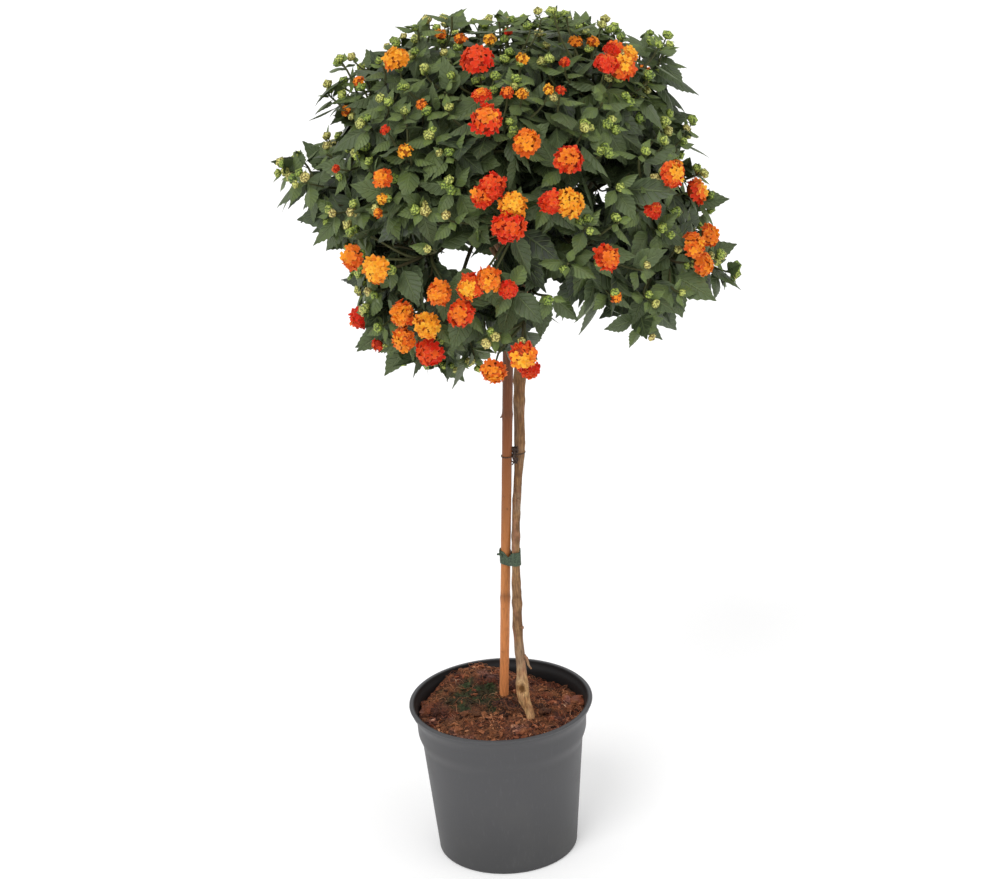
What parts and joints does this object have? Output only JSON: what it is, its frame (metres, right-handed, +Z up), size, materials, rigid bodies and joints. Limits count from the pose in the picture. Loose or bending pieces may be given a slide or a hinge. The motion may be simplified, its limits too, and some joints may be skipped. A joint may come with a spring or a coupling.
{
  "type": "potted standard lantana",
  "caption": "Flowering lantana trained as a small standard tree, with a dome of toothed leaves and orange flower heads on a bare stem tied to a cane, in a round nursery pot.",
  "frame": {"origin": "centre of the pot's flat underside", "axes": "+Z up along the pot's axis and the plant's height, -Y towards the front of the plant"},
  "size_m": [0.5113, 0.4844, 1.0193],
  "materials": {
    "pot_plastic": "dark grey injection-moulded polypropylene, satin, finely scuffed",
    "potting_mix": "loose brown bark chips and coir fibre, damp, with a mossy patch",
    "bark": "beige-brown bark with swollen leaf joints and lengthwise cracks",
    "bamboo": "dry orange-tan bamboo, faintly streaked, slightly glossy",
    "band": "dark green flexible tie band",
    "wire": "thin dark brown coated wire",
    "leaf": "dark green rough leaf with sunken veins, lighter below and on young growth",
    "flower": "matt petals from red-orange through orange to yellow"
  },
  "bodies": {
    "root": {"pot": "pot_plastic", "potting_mix": "potting_mix", "trunk": "bark", "bamboo_cane": "bamboo", "green_band": "band", "wire_tie": "wire", "limb_1": "bark", "limb_2": "bark", "limb_3": "bark", "limb_4": "bark", "limb_5": "bark", "limb_6": "bark", "limb_7": "bark", "limb_8": "bark", "shoot_01": "leaf", "shoot_02": "leaf", "shoot_03": "leaf", "shoot_04": "leaf", "shoot_05": "leaf", "shoot_06": "leaf", "shoot_07": "leaf", "shoot_08": "leaf", "shoot_09": "leaf", "shoot_10": "leaf", "shoot_11": "leaf", "shoot_12": "leaf", "shoot_13": "leaf", "shoot_14": "leaf", "shoot_15": "leaf", "shoot_16": "leaf", "shoot_17": "leaf", "shoot_18": "leaf", "shoot_19": "leaf", "shoot_20": "leaf", "shoot_21": "leaf", "shoot_22": "leaf", "shoot_23": "leaf", "shoot_24": "leaf", "shoot_25": "leaf", "shoot_26": "leaf", "shoot_27": "leaf", "flower_head_01": "flower", "flower_head_02": "flower", "flower_head_03": "flower", "flower_head_04": "flower", "flower_head_05": "flower", "flower_head_06": "flower", "flower_head_07": "flower", "flower_head_08": "flower", "flower_head_09": "flower", "flower_head_10": "flower", "flower_head_11": "flower", "flower_head_12": "flower", "flower_head_13": "flower", "flower_head_14": "flower", "flower_head_15": "flower", "flower_head_16": "flower", "flower_head_17": "flower", "flower_head_18": "flower"}
  },
  "joints": []
}
